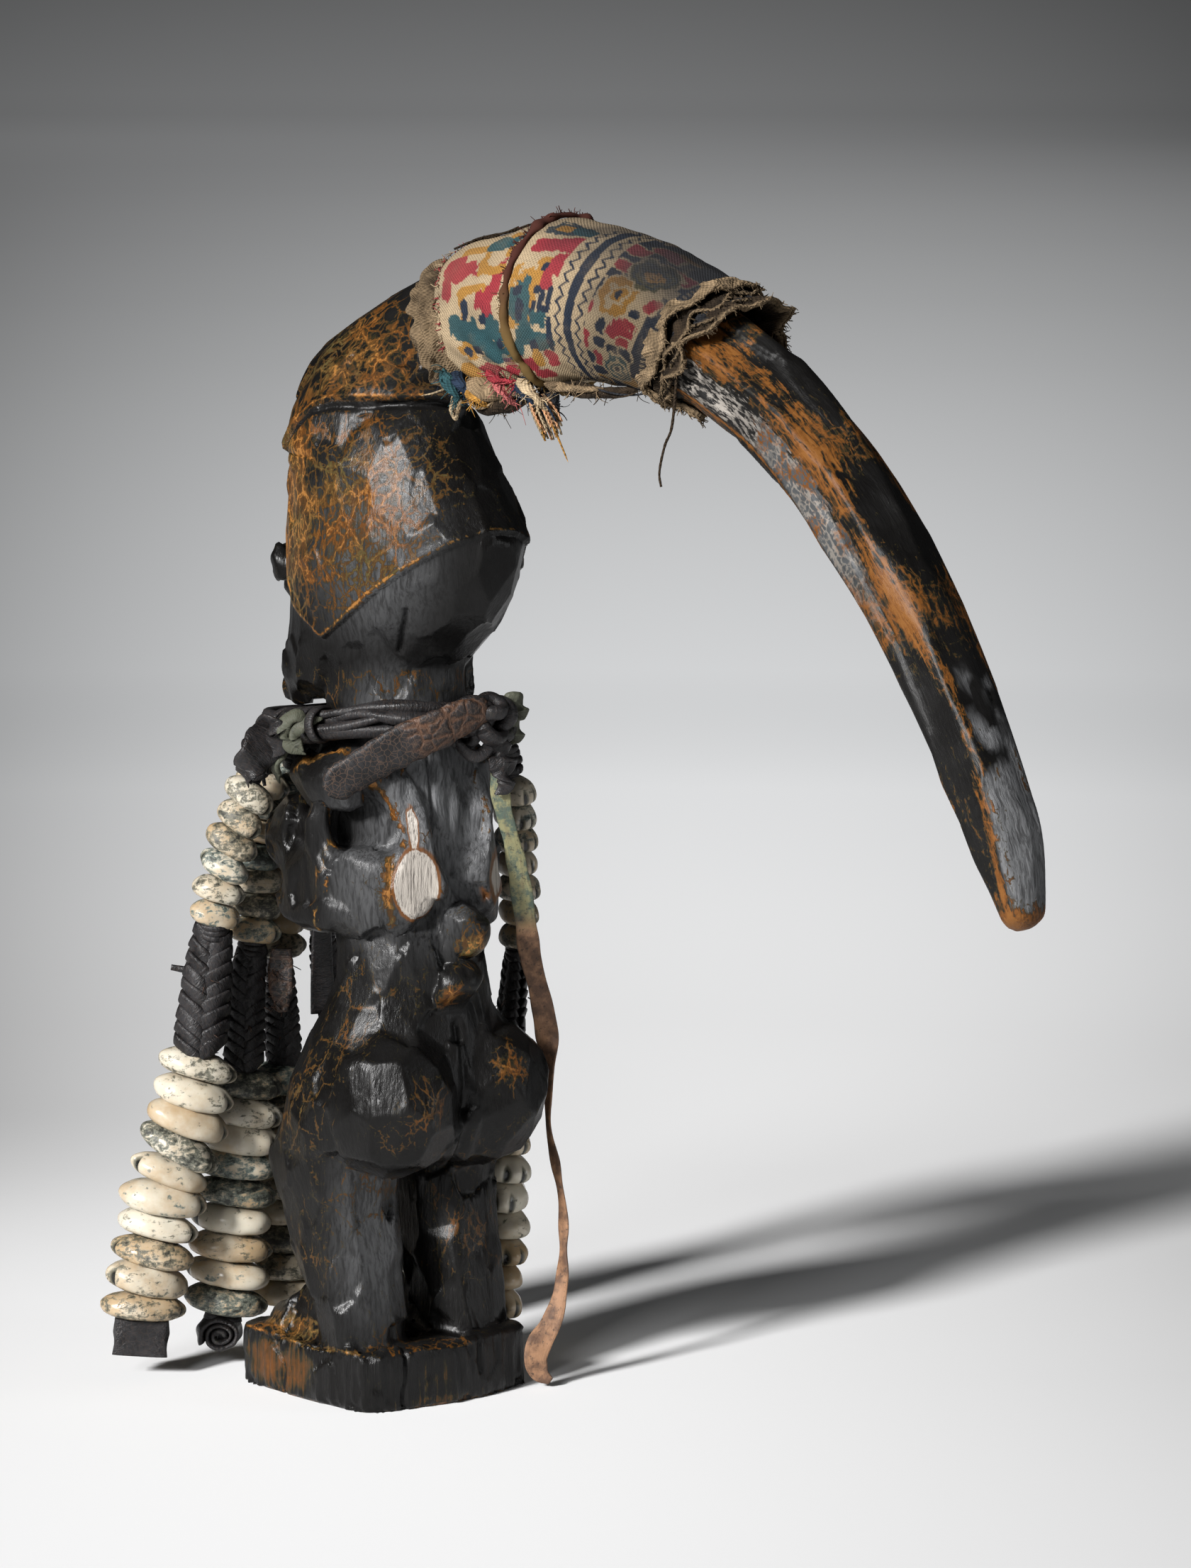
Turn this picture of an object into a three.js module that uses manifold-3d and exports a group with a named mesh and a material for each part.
// Carved wooden figure on its own base, with a long hooked crest that arches out behind the head.
// Printed cloth is wrapped round the crest, a leather ring lies round the neck, and strands of
// cowrie shells and one long thong hang from the ring.
//
// Millimetres. +Z is up, the figure faces -Y, its own left side is +X, and the crest reaches to +Y.
// The origin is the middle of the base's underside.

import * as THREE from 'three';
import * as BufferGeometryUtils from 'three/addons/utils/BufferGeometryUtils.js';
import Module from 'manifold-3d';

// Driving dimensions
const BASE_THICKNESS = 20;
const BASE_HALF_WIDTH = 35;
const BASE_FRONT = -37;
const BASE_REAR = 39;
const BASE_CORNER = 6;
const HIP_HALF_WIDTH = 43;
const NECK_RADIUS = 24.5;
const NECK_Y = 10;
const CREST_FLATNESS = 0.88; // the crest's width against its depth
const BAND_START = 0.228; // places along the crest, from its root to its tip
const PRINT_START = 0.258;
const HEM_START = 0.515;
const HEM_END = 0.552;
const CLOTH_LEAN = -0.3; // how far the cloth's rings lean out over the crest, per unit of depth
const RING_RADIUS = 5.3; // half the thickness of the leather bundle round the neck
const SHELL_UPPER = { length: 18.5, width: 13.5, pitch: 8.6 };
const SHELL_LOWER = { length: 30, width: 18.5, pitch: 9.6 };
const GAP = 0.3; // left between pieces that touch

const wasm = await Module();
wasm.setup();

// Closed meshes become solids here, so that they can be joined and cut.
function solidOf(geometry) {
  const plain = geometry.clone();
  for (const name of Object.keys(plain.attributes)) {
    if (name !== 'position') plain.deleteAttribute(name);
  }
  const merged = BufferGeometryUtils.mergeVertices(plain, 1e-4);
  return new wasm.Manifold(new wasm.Mesh({
    numProp: 3,
    vertProperties: new Float32Array(merged.attributes.position.array),
    triVerts: new Uint32Array(merged.index.array),
  }));
}

function geometryOf(solid) {
  const mesh = solid.getMesh();
  const geometry = new THREE.BufferGeometry();
  geometry.setAttribute('position', new THREE.BufferAttribute(mesh.vertProperties.slice(), 3));
  geometry.setIndex(new THREE.BufferAttribute(mesh.triVerts.slice(), 1));
  return geometry;
}

// The masses joined into one solid. A pocket that they close in between them is filled.
function joined(solids) {
  const whole = solids.reduce((sum, next) => sum.add(next));
  return whole.decompose().sort((a, b) => b.volume() - a.volume())[0];
}

// A closed skin over rows of points: every row is one ring, and each end is closed by a fan.
function skin(rings) {
  const around = rings[0].length;
  const points = rings.flat();
  const middle = (ring) => ring
    .reduce((sum, p) => sum.add(p), new THREE.Vector3())
    .divideScalar(around);
  points.push(middle(rings[0]), middle(rings[rings.length - 1]));
  const index = [];
  for (let row = 0; row + 1 < rings.length; row += 1) {
    for (let i = 0; i < around; i += 1) {
      const a = row * around + i;
      const b = row * around + ((i + 1) % around);
      index.push(a, b, b + around, a, b + around, a + around);
    }
  }
  const last = (rings.length - 1) * around;
  for (let i = 0; i < around; i += 1) {
    const next = (i + 1) % around;
    index.push(points.length - 2, next, i);
    index.push(points.length - 1, last + i, last + next);
  }
  const geometry = new THREE.BufferGeometry().setFromPoints(points);
  geometry.setIndex(index);
  return geometry;
}

// A smooth row of values between stops: each stop is [place, value, value, ...].
function between(stops) {
  const places = stops.map((stop) => stop[0]);
  const values = stops.flatMap((stop) => stop.slice(1));
  const curve = new THREE.CubicInterpolant(places, values, stops[0].length - 1);
  return (place) => Array.from(curve.evaluate(place));
}

// A squared or pointed oval: power 2 is an ellipse, more is squarer, less is pointed.
function oval(turn, halfX, front, back, power) {
  const c = Math.cos(turn);
  const s = Math.sin(turn);
  const bend = (v) => Math.sign(v) * Math.abs(v) ** (2 / power);
  return [halfX * bend(c), (s > 0 ? back : front) * bend(s)];
}

// An upright mass from level sections: stops are [z, x, y, halfWidth, front, back, power].
// lean tips each section, so that it climbs by that much for every millimetre towards +Y.
function upright(stops, { around = 16, rows = 10, lean = 0 } = {}) {
  const section = between(stops);
  const low = stops[0][0];
  const high = stops[stops.length - 1][0];
  const rings = [];
  for (let row = 0; row <= rows; row += 1) {
    const z = low + ((high - low) * row) / rows;
    const [x, y, halfX, front, back, power] = section(z);
    rings.push(Array.from({ length: around }, (_, i) => {
      const [dx, dy] = oval((2 * Math.PI * (i + 0.5)) / around, halfX, front, back, power);
      return new THREE.Vector3(x + dx, y + dy, z + lean * dy);
    }));
  }
  return solidOf(skin(rings));
}

// A limb or band along a curve: size(t) gives its half width across the path and half depth, side is
// the direction that the width lies along, and lean(t) slants the rings along the path.
function along(curve, size, side, options = {}) {
  const { around = 8, rows = 12, power = 2, from = 0, to = 1, lean = () => 0 } = options;
  const rings = [];
  for (let row = 0; row <= rows; row += 1) {
    const t = from + ((to - from) * row) / rows;
    const centre = curve.getPoint(t);
    const ahead = curve.getTangent(t);
    const across = side.clone().addScaledVector(ahead, -side.dot(ahead)).normalize();
    const deep = new THREE.Vector3().crossVectors(ahead, across);
    const [halfWidth, halfDepth] = size(t);
    rings.push(Array.from({ length: around }, (_, i) => {
      const turn = (2 * Math.PI * (i + 0.5)) / around;
      const [p, q] = oval(turn, halfWidth, halfDepth, halfDepth, power);
      return centre.clone().addScaledVector(across, p).addScaledVector(deep, q)
        .addScaledVector(ahead, lean(t) * q);
    }));
  }
  return solidOf(skin(rings));
}

const vector = (x, y, z) => new THREE.Vector3(x, y, z);
const curveThrough = (points) => new THREE.CatmullRomCurve3(points.map((p) => vector(...p)));
const mirrored = (points) => points.map(([x, y, z]) => [-x, y, z]);

// An egg-shaped lump with its own half sizes, turned by Euler angles in degrees.
function lump(centre, sizes, turns = [0, 0, 0], detail = [10, 6]) {
  const ball = new THREE.SphereGeometry(1, ...detail);
  const place = new THREE.Matrix4().compose(
    vector(...centre),
    new THREE.Quaternion().setFromEuler(
      new THREE.Euler(...turns.map((d) => THREE.MathUtils.degToRad(d))),
    ),
    vector(...sizes),
  );
  return solidOf(ball.applyMatrix4(place));
}

// A straight prism of a side-view outline (points are [y, z]) that runs right across in X.
function sidePrism(outline, halfWidth) {
  const shape = new THREE.Shape(outline.map(([y, z]) => new THREE.Vector2(y, z)));
  const prism = new THREE.ExtrudeGeometry(shape, {
    depth: 2 * halfWidth,
    bevelEnabled: false,
  });
  // The drawing's right is +Y and its up is +Z, so its depth runs along +X.
  const turn = new THREE.Matrix4().makeBasis(vector(0, 1, 0), vector(0, 0, 1), vector(1, 0, 0));
  prism.applyMatrix4(turn).translate(-halfWidth, 0, 0);
  return solidOf(prism);
}

// The base: a low block with uneven, rounded sides.
function base() {
  const block = new THREE.Shape();
  block.moveTo(-BASE_HALF_WIDTH + BASE_CORNER, BASE_FRONT);
  block.lineTo(BASE_HALF_WIDTH - BASE_CORNER, BASE_FRONT);
  block.quadraticCurveTo(BASE_HALF_WIDTH - 1, BASE_FRONT, BASE_HALF_WIDTH - 1, -32);
  block.quadraticCurveTo(BASE_HALF_WIDTH + 3, 0, BASE_HALF_WIDTH - 1, 33);
  block.lineTo(BASE_HALF_WIDTH - 7, BASE_REAR - 3);
  block.quadraticCurveTo(0, BASE_REAR + 3, -BASE_HALF_WIDTH + 3, BASE_REAR - 4);
  block.quadraticCurveTo(-BASE_HALF_WIDTH - 1, 33, -BASE_HALF_WIDTH - 1, 28);
  block.quadraticCurveTo(-BASE_HALF_WIDTH - 1, 0, -BASE_HALF_WIDTH, -31);
  block.quadraticCurveTo(-BASE_HALF_WIDTH, BASE_FRONT, -BASE_HALF_WIDTH + BASE_CORNER, BASE_FRONT);
  const edge = 1;
  const slab = new THREE.ExtrudeGeometry(block, {
    depth: BASE_THICKNESS - 2 * edge,
    bevelThickness: edge,
    bevelSize: edge,
    bevelOffset: -edge,
    bevelSegments: 1,
    curveSegments: 4,
  });
  return solidOf(slab.translate(0, 0, edge));
}

// One leg with its foot. side is +1 for the figure's left and -1 for its right.
function leg(side) {
  const shift = side > 0 ? 0 : -1;
  const shank = upright([
    [18, side * 20 + shift, 16, 14, 15, 14, 2.4],
    [34, side * 20.5 + shift, 12.5, 14.5, 17, 15.5, 2.4],
    [50, side * 20.5 + shift, 7.5, 15.5, 20, 18, 2.4],
    [64, side * 21 + shift, 4.5, 16.5, 22, 19, 2.3],
    [80, side * 21.5 + shift, 3, 19, 24, 22, 2.2],
    [98, side * 20 + shift, 5, 18, 22, 22, 2],
  ], { rows: 4, around: 9 });
  const foot = upright([
    [18, side * 21, -10, 11.5, 19, 22, 3],
    [24, side * 21, -9, 10.5, 17.5, 22, 3],
    [30, side * 20.5, -3, 9, 16, 20, 2.6],
    [38, side * 20.5, 6, 7, 11, 12, 2.2],
  ], { rows: 3, around: 9 });
  return [shank, foot];
}

// Hips, belly and buttocks, up to the waist.
function hips() {
  const pelvis = upright([
    [82, 0, 7, 40, 31, 32, 2.1],
    [90, 0, 10, HIP_HALF_WIDTH - 1, 34, 34, 2.1],
    [98, 0, 12, HIP_HALF_WIDTH, 36, 34, 2],
    [112, 0, 14, 39.5, 34, 32, 2],
    [126, 0, 15.5, 33, 30, 28, 2],
    [140, 0, 16.5, 27, 26, 24.5, 2],
    [153, 0, 16.9, 25, 24, 24, 2],
    [160, 0, 16, 24, 24, 23, 2],
  ], { rows: 7, around: 14 });
  const buttock = (side) => lump([side * 19, 27, 104], [22.5, 25, 26], [-12, 0, side * -8], [12, 8]);
  const knobs = [
    lump([-3, 38, 160], [7.5, 11, 8.5], [20, 0, 0], [8, 5]),
    lump([1, 35, 142], [10, 13, 7.5], [10, 14, 10], [8, 5]),
  ];
  return [pelvis, buttock(1), buttock(-1), ...knobs];
}

// Chest and back, up to the neck.
function torso() {
  return [
    upright([
      [150, 0, 16.5, 24, 24, 23, 2.2],
      [164, 0, 13, 21.5, 25, 24.5, 2.4],
      [180, 0, 10, 20.5, 28, 28.5, 2.6],
      [198, 0, 8, 21.5, 30, 29, 2.6],
      [212, 0, 8, 24, 27, 27.5, 2.4],
      [224, 0, 9, 25, 24, 25.5, 2.1],
      [234, 0, NECK_Y, NECK_RADIUS, NECK_RADIUS, NECK_RADIUS, 2],
      [256, 0, NECK_Y, NECK_RADIUS, NECK_RADIUS, NECK_RADIUS, 2],
    ], { rows: 8, around: 14 }),
  ];
}

// One arm: a rounded shoulder, an upper arm that runs back and down to the elbow, a forearm that
// comes forward, and a hand that stands upright beside the breast. A deep pocket lies between them.
function arm(side) {
  const place = (points) => (side > 0 ? points : mirrored(points));
  const shoulder = lump([side * 25, 8, 209], [11, 19, 12], [0, 0, 0], [10, 6]);
  const upper = along(
    curveThrough(place([[22, 6, 213], [25, 18, 212], [22, 29, 203], [19, 33, 190], [17, 34, 176]])),
    between([[0, 7, 7], [0.3, 7.5, 8], [0.7, 7, 8], [1, 9, 9]]),
    vector(1, 0, 0),
    { rows: 5, power: 2.6 },
  );
  const fore = along(
    curveThrough(place([[15, 33, 173], [22, 23, 172.5], [25, 8, 172.5], [22, -8, 174], [17, -20, 180]])),
    between([[0, 12, 8], [0.3, 14, 9], [0.7, 13.5, 9], [0.85, 12, 9], [1, 9, 8]]),
    vector(0, 0, 1),
    { rows: 5, power: 3 },
  );
  const hand = upright([
    [162, side * 26, 2, 7, 8, 8, 3],
    [184, side * 27.5, 2, 7, 8, 8, 3],
    [198, side * 26.5, 3, 6, 7, 7, 3],
    [206, side * 25, 4, 4, 5, 5, 2.4],
  ], { rows: 4, around: 8 });
  const breast = along(
    curveThrough(place([[15, -6, 193], [19, -18, 190], [20.5, -32, 187]])),
    between([[0, 13, 15], [0.5, 10.5, 14], [0.85, 6, 8], [1, 2, 2.5]]),
    vector(1, 0, 0),
    { rows: 4, power: 2.2 },
  );
  // The elbow's tip is worn to a flat oval that faces back and a little outwards.
  const elbow = lump([side * 15, 33.5, 176], [10, 10, 13.5], [0, 0, side * -17], [10, 6]);
  const wornSide = sidePrism([[38, 150], [60, 150], [60, 205], [38, 205]], 60);
  const turned = wornSide.rotate([0, 0, side * -17]).translate([side * 6, 4.2, 0]);
  return [shoulder, upper, fore, hand, breast, elbow.subtract(turned)];
}

// The head below the crest: a deep, keeled egg with a heavy jaw, and the hair cap that stands proud.
const HEAD = [
  [250, 0, 0, 24, 33, 37, 2.1],
  [258, 0, 3.5, 27, 38, 41.5, 2.1],
  [268, 0, 8, 29, 42, 47, 2],
  [280, 0, 11.5, 31, 45, 49.5, 1.95],
  [293, 0, 12.5, 31, 46.5, 50, 1.9],
  [304, 0, 10.5, 30, 43.5, 46, 1.9],
  [316, 0, 7, 28.5, 38.5, 42, 1.95],
  [328, 0, 8, 24, 32, 34, 2],
  [336, 0, 14, 16, 18, 24, 2],
];
const JAW_LEAN = 0.16; // the jaw drops towards the chin
const CAP_PROUD = 1.3;
// The cap's rim from the side, as [y, z]: it falls from the brow to a point before the ear, and
// climbs in a straight line to the back of the head.
const CAP_RIM = [[-60, 312], [-31, 308], [-14, 268], [6, 258], [66, 297], [90, 297]];

function head() {
  const skull = upright(HEAD, { rows: 8, around: 14 });
  const jaw = upright([
    [236, 0, -13, 17, 27, 30, 2],
    [243, 0, -5, 24, 33, 38, 2.1],
    [252, 0, 1, 27, 37, 42, 2.1],
    [262, 0, 5, 28.5, 40, 43, 2.1],
  ], { rows: 3, around: 12, lean: JAW_LEAN });
  const cap = upright(
    HEAD.map(([z, x, y, half, front, back, power]) => (
      [z, x, y, half + CAP_PROUD, front + CAP_PROUD, back + CAP_PROUD, power])),
    { rows: 8, around: 14 },
  );
  const region = sidePrism([...CAP_RIM, [90, 350], [-60, 350]], 50);
  const eye = (side) => lump([side * 12.5, -31.5, 280], [8, 4.5, 6], [0, 0, side * 16], [8, 5]);
  const nose = along(
    curveThrough([[0, -31, 292], [0, -36.5, 283], [0, -41, 272], [0, -37, 267]]),
    between([[0, 3, 4], [0.6, 5, 4], [0.85, 7, 4], [1, 6, 3]]),
    vector(1, 0, 0),
    { rows: 4, around: 6 },
  );
  const lips = [lump([0, -36.5, 260.5], [11, 4, 2.6], [0, 0, 0], [8, 4]),
    lump([0, -36, 255.5], [10, 4, 2.6], [0, 0, 0], [8, 4])];
  const chin = lump([0, -32, 244], [11, 8.5, 8], [0, 0, 0], [8, 5]);
  return [skull, jaw, cap.intersect(region), eye(1), eye(-1), nose, ...lips, chin];
}

// The crest: [y, z, half depth] along its middle line, in the figure's plane of symmetry.
const CREST = [
  [1, 318, 33], [3, 334, 28], [17, 348, 22.6], [39, 358.8, 20.4], [72, 366, 19.8], [106, 368.6, 19.6],
  [139, 364.6, 19], [172, 354, 17.8], [203.5, 337, 17], [231, 313, 16.6], [257, 282, 15.3],
  [281.5, 244.5, 13.4], [297, 215, 11.4], [305, 191.5, 6.5],
];
const CREST_LINE = curveThrough(CREST.map(([y, z]) => [0, y, z]));
const CREST_HALF_DEPTH = between(CREST.map(([, , half], i) => [i / (CREST.length - 1), half]));

function crestSize(t) {
  const [deep] = CREST_HALF_DEPTH(t);
  return [deep * CREST_FLATNESS, deep];
}

function crest(grow = 0) {
  return along(CREST_LINE, (t) => crestSize(t).map((half) => half + grow), vector(1, 0, 0), {
    around: 10, rows: 20, power: 2.3, from: 0.005,
  });
}

function carvedFigure() {
  return joined([
    base(), ...leg(1), ...leg(-1), ...hips(), ...torso(), ...arm(1), ...arm(-1), ...head(), crest(),
  ]);
}

// Cloth sleeves round the crest. proud(s) is how far the cloth stands off the wood, from its near
// end, s = 0, to its far end, s = 1, and lift raises it, because it stands off more on top.
function sleeve(from, to, proud, rows, { lift = 0, lean = () => 0 } = {}) {
  const line = curveThrough(CREST.map(([y, z]) => [0, y, z + lift]));
  const outside = along(line, (t) => {
    const [off] = proud((t - from) / (to - from));
    return crestSize(t).map((half) => half + off);
  }, vector(1, 0, 0), { from, to, rows, around: 12, power: 2.1, lean });
  return outside.subtract(crest(GAP));
}

const plainBand = () => sleeve(BAND_START, PRINT_START - 0.003, between([[0, 1.6], [1, 2.2]]), 2);
const PRINT_PROUD = between([[0, 2.6], [0.2, 6], [0.43, 7.4], [0.6, 5.4], [0.8, 4], [1, 3.4]]);
const CLOTH_LIFT = 2.5;
const printedCloth = () => sleeve(PRINT_START, HEM_START - 0.004, PRINT_PROUD, 8, {
  lift: CLOTH_LIFT,
  lean: (t) => CLOTH_LEAN * THREE.MathUtils.smoothstep(t, PRINT_START, HEM_START),
});
const foldedHem = () => sleeve(HEM_START, HEM_END, between([[0, 4.2], [0.5, 5.4], [1, 4.6]]), 3, {
  lift: CLOTH_LIFT,
  lean: () => CLOTH_LEAN,
});

// The print's outside with its gap, all solid, to keep other pieces clear of it.
function printRoom() {
  return along(curveThrough(CREST.map(([y, z]) => [0, y, z + CLOTH_LIFT])), (t) => {
    const [off] = PRINT_PROUD((t - PRINT_START) / (HEM_START - PRINT_START));
    return crestSize(t).map((half) => half + off + GAP);
  }, vector(1, 0, 0), { from: PRINT_START - 0.01, to: HEM_START, rows: 12, around: 24, power: 2.2 });
}

// Knotted strips of the same cloth under the arch, with a frayed tassel.
function clothKnots() {
  const strips = along(
    curveThrough([[11, 50, 339], [10, 60, 338.5], [8, 75, 337], [8, 92, 336.5]]),
    between([[0, 3, 2.5], [0.3, 6, 3.6], [0.7, 6.5, 3.8], [1, 4.5, 3.4]]),
    vector(1, 0, 0),
    { rows: 5 },
  );
  const tassel = along(
    curveThrough([[8, 92, 337], [9, 96, 331], [9, 98, 324]]),
    between([[0, 3.5, 3.5], [0.5, 5, 4.5], [1, 2.5, 2.5]]),
    vector(1, 0, 0),
    { rows: 3 },
  );
  return joined([strips, tassel]).subtract(printRoom());
}

// The leather bundle round the neck lies loose: high at the nape, low on the chest. Its ends are
// tied in a thick knot behind the right side of the neck.
const RING_LINE = curveThrough([
  [-6, 42, 232.5], [7, 41.5, 233], [20.5, 34, 232.5], [31, 16, 230.5], [34.5, -7, 228],
  [29, -24, 226], [14, -35, 225], [-8, -37, 225], [-27, -26, 226], [-34.5, -7, 228],
  [-31, 16, 230], [-21, 33, 231.5], [-10, 41, 232],
]);

function ringBundle(grow) {
  const radius = RING_RADIUS + grow;
  return along(RING_LINE, () => [radius, radius], vector(0, 0, 1), { rows: 20, around: 6 });
}

const KNOT_LUMPS = [
  { centre: [-8, 46.5, 230], sizes: [11.5, 8, 12], turns: [0, 0, -12] },
  { centre: [-18, 46, 233.5], sizes: [4.5, 5.5, 6.5], turns: [0, 20, 0] },
];

function neckRing(grow = 0) {
  return joined([
    ringBundle(grow),
    ...KNOT_LUMPS.map(({ centre, sizes, turns }) => (
      lump(centre, sizes.map((v) => v + grow), turns, [8, 5]))),
  ]);
}

// A flat leather tab leaves the knot and lies over the ring, down to the left shoulder.
function leatherTab() {
  return along(
    curveThrough([[-1, 52, 235], [7, 50.5, 233], [15.5, 47, 229], [23, 40, 224], [30, 34, 219],
      [36, 28.5, 214], [41.5, 22.5, 209]]),
    between([[0, 6.5, 2.4], [0.4, 7.5, 2.4], [0.75, 6.5, 2.6], [1, 4.5, 2.2]]),
    vector(0.2, 0.3, 1),
    { rows: 6, power: 2.6 },
  ).subtract(neckRing(GAP));
}

// The long thong: a strip from the knot down the right side to the floor. Its route runs in the open
// beside the body, and folds once before it lies on the floor.
const THONG_RADIUS = 1.6;
const THONG_ROUTE = [
  [-14, 45, 218.5], [-14.5, 45, 211], [-17.5, 44, 200], [-22, 43, 189], [-27, 41, 176],
  [-32, 38, 162], [-36.5, 35.5, 148], [-40.5, 35.5, 135], [-44, 35, 122], [-46, 34, 109],
  [-46.5, 33, 97], [-46, 34, 87], [-46.5, 37, 75], [-47, 40, 61], [-46.5, 41, 49], [-45.5, 41.5, 37],
  [-43.5, 41.5, 28], [-40, 41.5, 21], [-35.5, 41, 15], [-33.5, 41.5, 10], [-35, 42, 5],
  [-38, 44, 2.2],
];

function longThong() {
  const sides = 8;
  const ring = Array.from({ length: sides }, (_, i) => new THREE.Vector2(
    THONG_RADIUS * Math.cos((2 * Math.PI * i) / sides),
    THONG_RADIUS * Math.sin((2 * Math.PI * i) / sides),
  ));
  return solidOf(new THREE.ExtrudeGeometry(new THREE.Shape(ring), {
    steps: 18,
    extrudePath: curveThrough(THONG_ROUTE),
  }));
}

// Strands of shells. Each hangs from the ring by a leather tie, and has smaller shells, a plait,
// larger shells and an end piece. route runs down its middle, long is the way its shells' long axes
// lie seen from above, in degrees from +X.
const STRANDS = [
  {
    name: 'strand_1',
    route: [[29.5, -29, 216], [31, -32, 203], [35, -36, 188], [38, -40, 171], [39, -42, 159],
      [40, -44.5, 139], [41.5, -46.5, 118], [45, -50, 89], [50, -55, 69], [53, -58, 48],
      [56, -61, 27], [57, -62, 8]],
    long: 141,
    upper: 6,
    lower: 10,
    plait: 8,
    end: { length: 13, wide: 10, deep: 5, power: 4 },
    tie: { centre: [29.5, -29.5, 216.5], sizes: [6.5, 6.5, 7.5] },
  },
  {
    name: 'strand_2',
    route: [[17, -39, 216], [15, -46, 202], [15, -47.5, 186], [15, -48.5, 168], [16.5, -49, 150],
      [18, -51, 134], [18, -53, 107], [19, -54.5, 86], [20, -55.5, 66], [21, -57, 46],
      [22, -59, 25], [24, -61, 3]],
    long: 141,
    upper: 7,
    lower: 9,
    plait: 6.2,
    end: { length: 16, wide: 8.5, deep: 7, power: 2 },
    tie: { centre: [17, -40, 215.5], sizes: [5.5, 6, 7] },
  },
  {
    name: 'strand_3',
    route: [[2, -44, 216], [-1, -52, 201], [-2, -56, 178], [-1, -57, 153], [-1, -57, 133],
      [-3, -58, 112], [-6, -59.5, 88], [-7, -60, 57], [-8, -60, 30], [-8, -60, 5]],
    long: 150,
    upper: 8,
    lower: 9,
    plait: 5.5,
    end: { length: 12, wide: 7, deep: 5, power: 3 },
    tie: { centre: [2, -44, 216], sizes: [5.5, 5.5, 7] },
  },
  {
    name: 'strand_4',
    route: [[-15, -43, 215], [-18, -52, 199], [-19, -56, 176], [-20, -57, 150], [-24, -57, 125],
      [-31, -56, 103], [-35.5, -55, 80], [-36.5, -54, 55], [-37, -54, 30], [-37, -54, 6]],
    long: 160,
    upper: 7,
    lower: 9,
    plait: 5.5,
    end: { length: 12, wide: 7, deep: 5, power: 3 },
    tie: { centre: [-15, -43.5, 215.5], sizes: [5.5, 5.5, 7] },
  },
  {
    name: 'strand_5',
    route: [[-44.5, 13, 214], [-48, 13, 203], [-51, 11, 185], [-54, 9, 155], [-54.5, 6, 136],
      [-55, 3, 117], [-55, 0, 97], [-54, 0, 79], [-53, 0, 62], [-52.5, -1, 45], [-52, -2, 28],
      [-51, -3, 6]],
    long: 80,
    upper: 7,
    lower: 9,
    plait: 5.5,
    end: { length: 11, wide: 7, deep: 5, power: 3 },
    tie: { centre: [-43, 14, 216], sizes: [5, 6.5, 6.5] },
  },
];

// The length of each part of a strand, along its route from the top.
function stations({ route, upper, lower, end, tie }) {
  const curve = curveThrough(route);
  const total = curve.getLength();
  const upperTop = tie.sizes[2] + 1.5;
  const upperFoot = upperTop + upper * SHELL_UPPER.pitch;
  const endTop = total - end.length;
  const lowerTop = endTop - lower * SHELL_LOWER.pitch;
  return { curve, total, upperTop, upperFoot, lowerTop, endTop };
}

// A round or squared sweep along a strand between two lengths; size(v) gives its half sizes at v mm
// from the start, and rows lists those places.
function sweep(curve, total, longDegrees, rows, size, { around = 8, power = 2 } = {}) {
  const turn = THREE.MathUtils.degToRad(longDegrees);
  const side = vector(Math.cos(turn), Math.sin(turn), 0);
  const rings = rows.map((v, row) => {
    const centre = curve.getPointAt(Math.min(1, v / total));
    const ahead = curve.getTangentAt(Math.min(1, v / total));
    const across = side.clone().addScaledVector(ahead, -side.dot(ahead)).normalize();
    const deep = new THREE.Vector3().crossVectors(ahead, across);
    const [halfLong, halfShort] = size(v, row);
    return Array.from({ length: around }, (_, i) => {
      const [p, q] = oval((2 * Math.PI * (i + 0.5)) / around, halfLong, halfShort, halfShort, power);
      return centre.clone().addScaledVector(across, p).addScaledVector(deep, q);
    });
  });
  return solidOf(skin(rings));
}

// Shells threaded face to back, each domed above and flat below. They touch, so they are one body.
function shellChain({ long }, { curve, total }, top, count, shell) {
  const profile = [[0.03, 0.62], [0.82, 1]];
  const rows = [];
  const scales = [];
  for (let i = 0; i < count; i += 1) {
    for (const [place, scale] of profile) {
      rows.push(top + (i + place) * shell.pitch);
      scales.push(scale);
    }
  }
  return sweep(curve, total, long, rows, (_, row) => (
    [(scales[row] * shell.length) / 2, (scales[row] * shell.width) / 2]));
}

const fractions = (from, to, count) => Array.from(
  { length: count + 1 },
  (_, i) => THREE.MathUtils.lerp(from, to, i / count),
);

function plaitOf({ long, plait }, { curve, total, upperFoot, lowerTop }) {
  const rows = fractions(upperFoot + GAP, lowerTop - GAP, 3);
  return sweep(curve, total, long, rows, (_, row) => {
    const half = plait * (row === 0 ? 0.8 : 1);
    return [half, half * 0.9];
  });
}

function endPiece({ long, end }, { curve, total, endTop }) {
  const rows = fractions(endTop + GAP, total, 2);
  return sweep(curve, total, long, rows, () => [end.wide, end.deep], { power: end.power });
}

const tieOf = ({ tie }) => lump(tie.centre, tie.sizes, [0, 0, 20], [7, 4]).subtract(neckRing(GAP));

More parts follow.
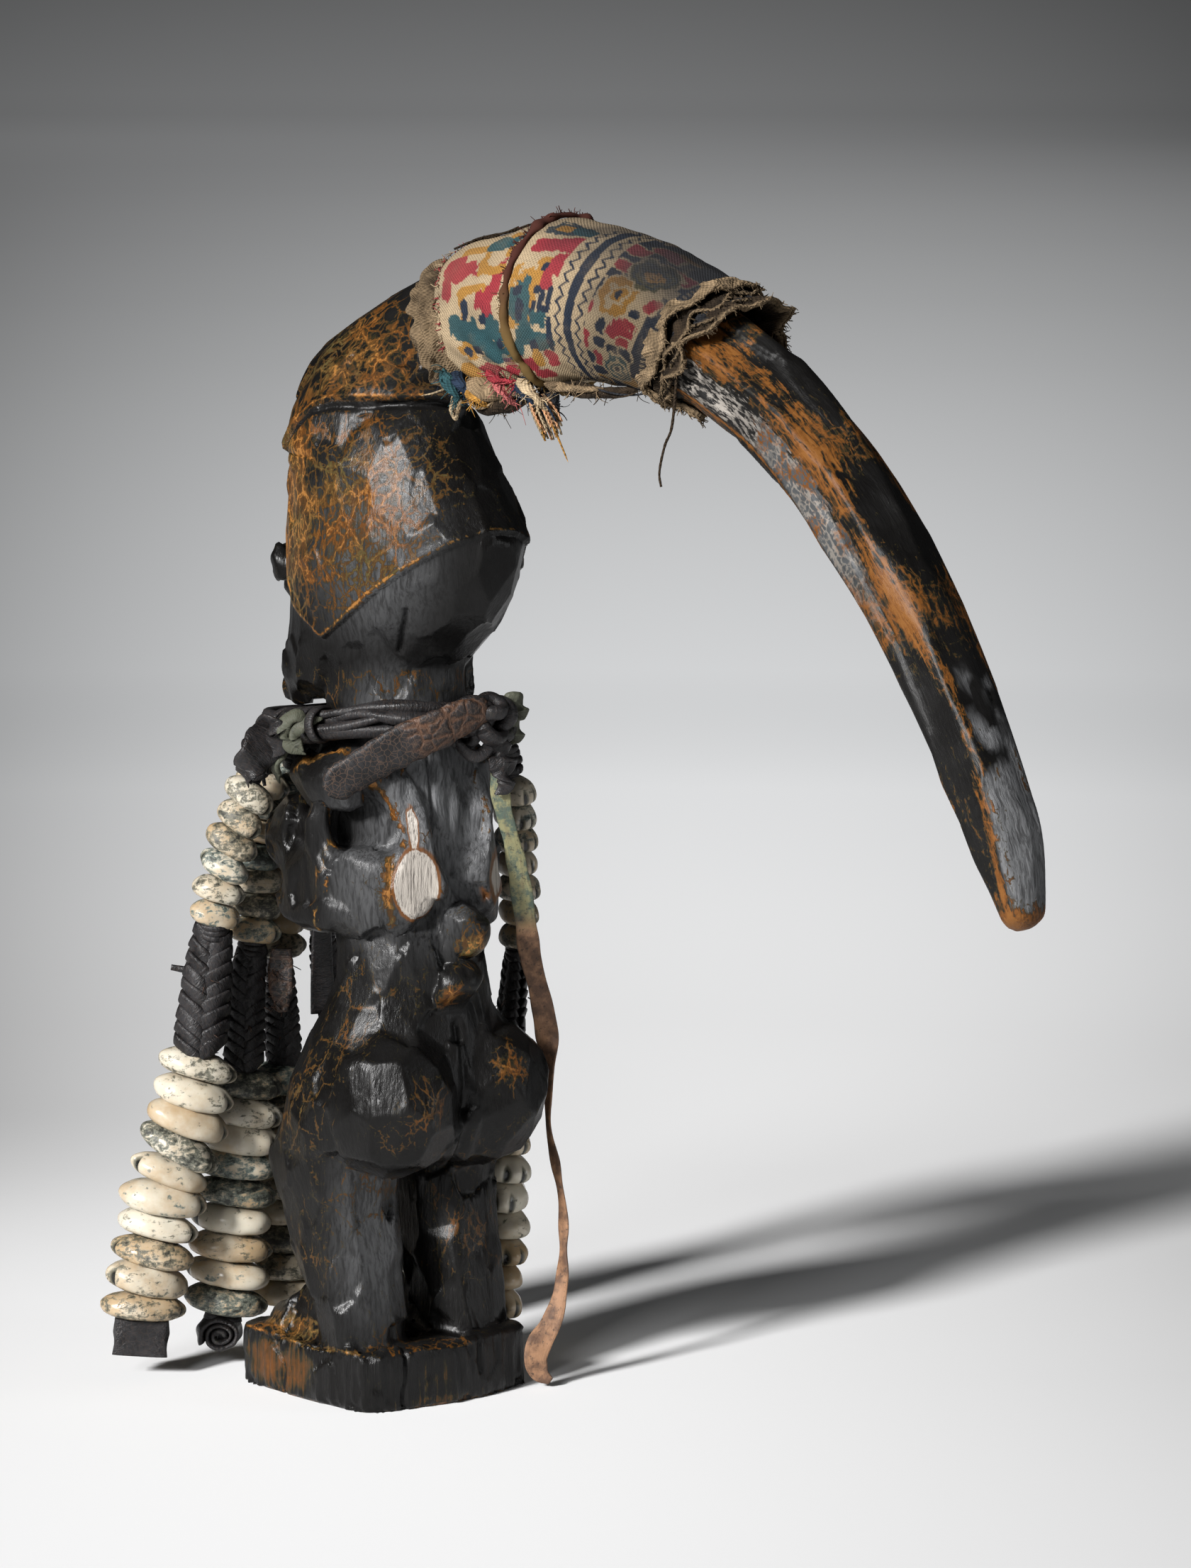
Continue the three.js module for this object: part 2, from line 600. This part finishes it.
// A leather strap and a torn flap hang in front, between the body and the strands.
const frontStrap = () => along(
  curveThrough([[-5, -37, 217], [-5, -39, 200], [-6, -40, 175], [-7, -41, 150], [-8, -42, 122]]),
  () => [6.5, 1.3],
  vector(1, 0, 0),
  { rows: 5, power: 4 },
);
const tornFlap = () => along(
  curveThrough([[9, -43, 146], [9.5, -43, 136], [9, -42.5, 124]]),
  between([[0, 3.5, 1.1], [0.5, 4.5, 1], [1, 2, 0.9]]),
  vector(0.777, -0.629, 0),
  { rows: 3, power: 3 },
);

const finishes = {
  wood: { color: 0x1c1917, roughness: 0.42, metalness: 0 },
  print: { color: 0xb3a07c, roughness: 0.9, metalness: 0 },
  linen: { color: 0x9c8b70, roughness: 0.95, metalness: 0 },
  hem: { color: 0x6f6250, roughness: 0.95, metalness: 0 },
  leather: { color: 0x1d1b1c, roughness: 0.5, metalness: 0 },
  brownLeather: { color: 0x5d4a3a, roughness: 0.6, metalness: 0 },
  thong: { color: 0x7a5a40, roughness: 0.7, metalness: 0 },
  shell: { color: 0xe4d8bd, roughness: 0.28, metalness: 0 },
};

const object = new THREE.Group();

function addPiece(name, solid, finish) {
  const mesh = new THREE.Mesh(geometryOf(solid), new THREE.MeshStandardMaterial(finishes[finish]));
  mesh.name = name;
  object.add(mesh);
}

addPiece('carved_figure', carvedFigure(), 'wood');
addPiece('plain_cloth_band', plainBand(), 'linen');
addPiece('printed_cloth', printedCloth(), 'print');
addPiece('folded_hem', foldedHem(), 'hem');
addPiece('cloth_knots', clothKnots(), 'linen');
addPiece('neck_ring', neckRing(), 'leather');
addPiece('leather_tab', leatherTab(), 'brownLeather');
addPiece('long_thong', longThong(), 'thong');
addPiece('front_strap', frontStrap(), 'leather');
addPiece('torn_flap', tornFlap(), 'brownLeather');
for (const strand of STRANDS) {
  const places = stations(strand);
  const { upperTop, lowerTop } = places;
  addPiece(`${strand.name}_tie`, tieOf(strand), 'leather');
  addPiece(`${strand.name}_upper_shells`, shellChain(strand, places, upperTop, strand.upper, SHELL_UPPER), 'shell');
  addPiece(`${strand.name}_plait`, plaitOf(strand, places), 'leather');
  addPiece(`${strand.name}_lower_shells`, shellChain(strand, places, lowerTop, strand.lower, SHELL_LOWER), 'shell');
  addPiece(`${strand.name}_end`, endPiece(strand, places), 'leather');
}

export default object;
